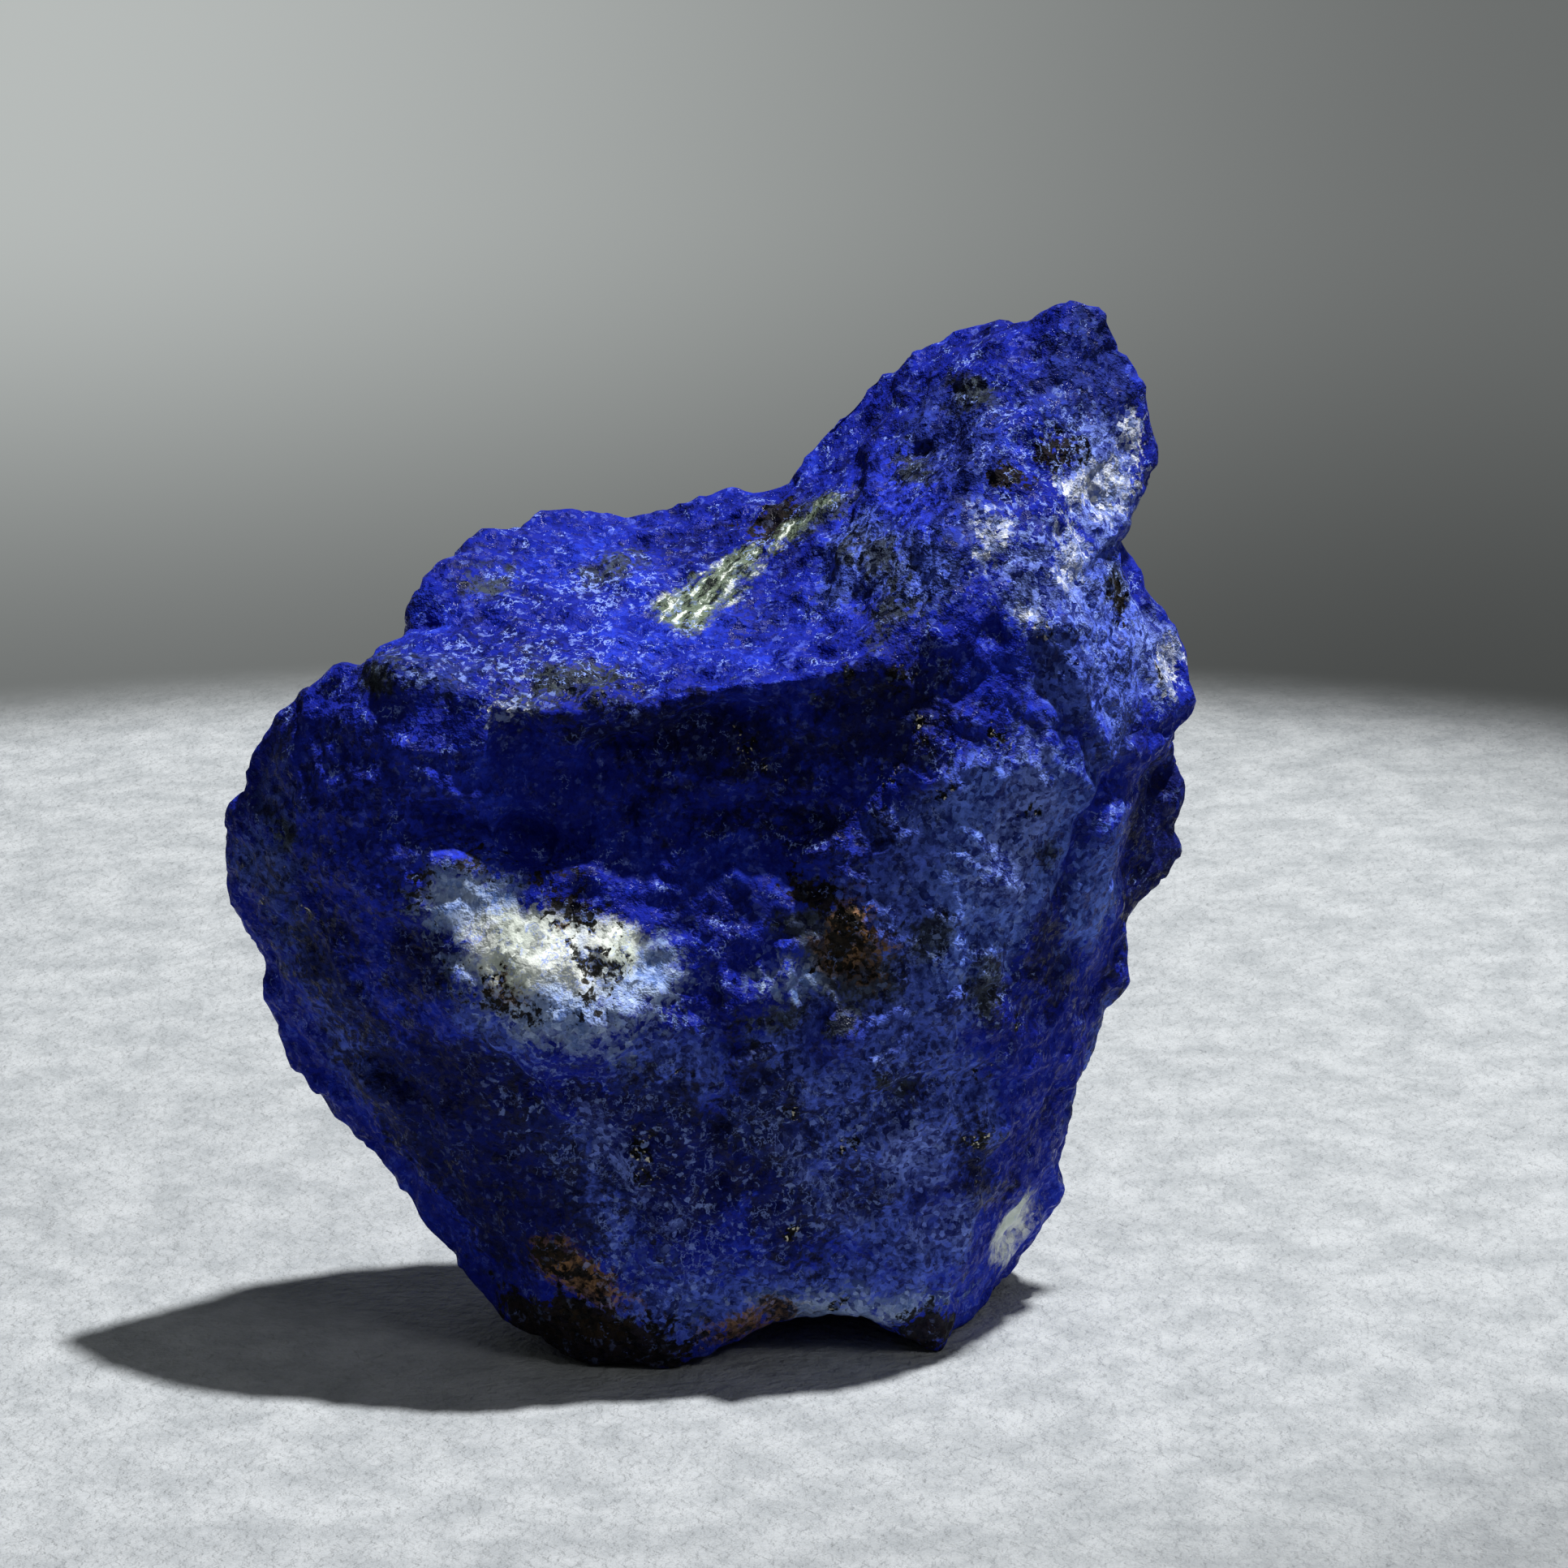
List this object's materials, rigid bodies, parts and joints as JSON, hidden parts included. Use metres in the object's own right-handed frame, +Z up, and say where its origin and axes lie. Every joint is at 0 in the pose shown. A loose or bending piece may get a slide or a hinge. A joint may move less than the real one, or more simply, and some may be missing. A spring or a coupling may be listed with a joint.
{
  "type": "lapis lazuli specimen",
  "caption": "Rough broken piece of deep blue lapis lazuli with a tall horn, a hollow under its front ridge, and white and rusty mineral patches.",
  "frame": {"origin": "under the middle of the stone's bounding box, on the surface it rests on", "axes": "+Z up, towards the tip of the horn; +X towards the horn's side; -Y towards the front with the white patch"},
  "size_m": [0.05, 0.025, 0.054],
  "materials": {
    "lapis": "satin"
  },
  "bodies": {
    "root": {"stone": "lapis"}
  },
  "joints": []
}
